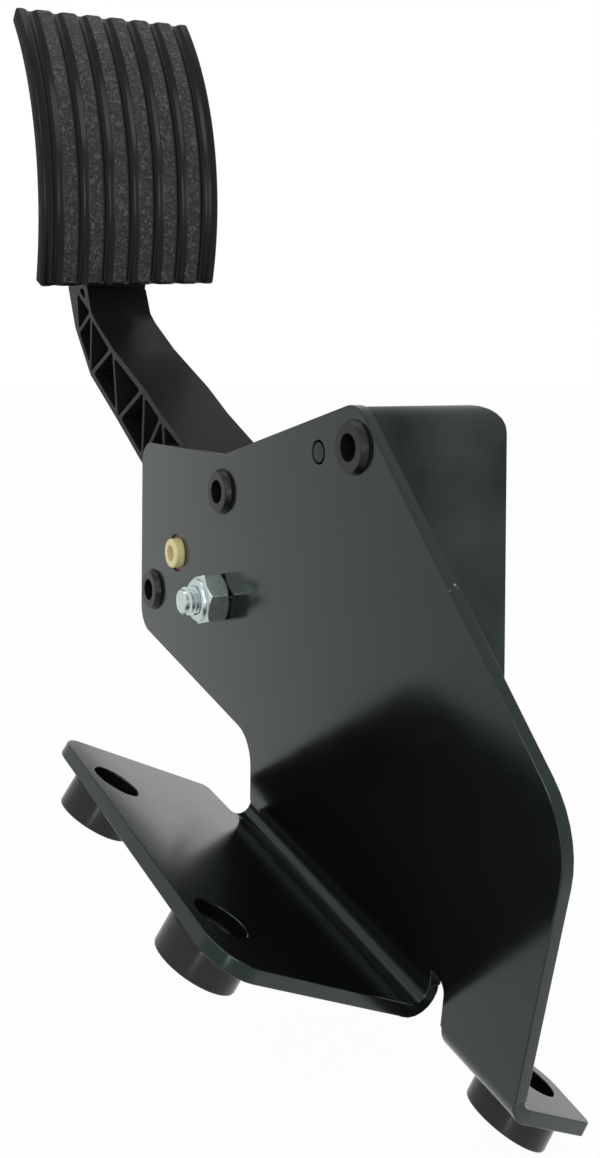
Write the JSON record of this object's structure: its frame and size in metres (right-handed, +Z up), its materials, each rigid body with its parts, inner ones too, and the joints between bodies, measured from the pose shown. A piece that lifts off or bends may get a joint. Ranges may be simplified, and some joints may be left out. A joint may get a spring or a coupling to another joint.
{
  "type": "accelerator pedal sensor",
  "caption": "Hanging accelerator pedal with ribbed tread, truss lever and position sensor on a folded black steel bracket.",
  "frame": {"origin": "centre of the lower end face of the front left spacer", "axes": "+X to the right across the car, +Y forward away from the driver, +Z up; the pivot runs along X"},
  "size_m": [0.1185, 0.3058, 0.3004],
  "materials": {
    "bracket_paint": "satin black",
    "spacer_steel": "dark satin",
    "black_plastic": "satin",
    "lever_plastic": "satin",
    "tread_rubber": "grained lands and glossy channels",
    "cream_plastic": "satin",
    "brown_bearing": "satin",
    "zinc": "bright zinc plate",
    "plain_steel": "plain",
    "spring_steel": "satin",
    "nylon_insert": "satin",
    "stop_rubber": "matte",
    "friction_plastic": "satin",
    "seal_rubber": "matte",
    "magnet": "ground",
    "board": "lacquered",
    "chip": "matte",
    "contact_metal": "tinned"
  },
  "bodies": {
    "frame": {"bracket": "bracket_paint", "spacer_rear_left": "spacer_steel", "spacer_front_left": "spacer_steel", "spacer_right": "spacer_steel", "housing": "black_plastic", "bearing_plate": "brown_bearing", "bearing_housing": "brown_bearing", "friction_track": "plain_steel", "outer_spring": "spring_steel", "inner_spring": "spring_steel", "through_bolt": "zinc", "compression_sleeve": "plain_steel", "lock_nut": "zinc", "nut_insert": "nylon_insert", "bolt_washer": "zinc", "idle_bumper": "stop_rubber", "full_bumper": "stop_rubber", "sensor_case": "black_plastic", "case_seal": "seal_rubber", "case_screws": "zinc", "sensor_board": "board", "hall_chips": "chip", "terminals": "contact_metal", "sensor_cover": "black_plastic", "cover_seal": "seal_rubber", "cover_screws": "zinc"},
    "pedal": {"lever": "lever_plastic", "pad": "tread_rubber", "axle": "cream_plastic", "friction_shoe": "friction_plastic", "magnet_carrier": "cream_plastic", "ring_magnet": "magnet"},
    "seat": {"spring_seat": "cream_plastic"}
  },
  "joints": [
    {"name": "pedal_pivot", "type": "hinge", "parent": "frame", "child": "pedal", "pos_m": [0.07273, 0.12509, 0.05719], "axis": [-1, 0, 0], "range_deg": [0, 16], "stiffness_Nm_per_rad": 9, "springref_deg": -18.91, "deforming": ["outer_spring", "inner_spring"]},
    {"name": "seat_rock", "type": "hinge", "parent": "pedal", "child": "seat", "pos_m": [0.07273, 0.06369, 0.04856], "axis": [1, 0, 0], "range_deg": [0, 16]}
  ],
  "couplings": [
    {"joint": "seat_rock", "follows": "pedal_pivot", "ratio": 1}
  ]
}
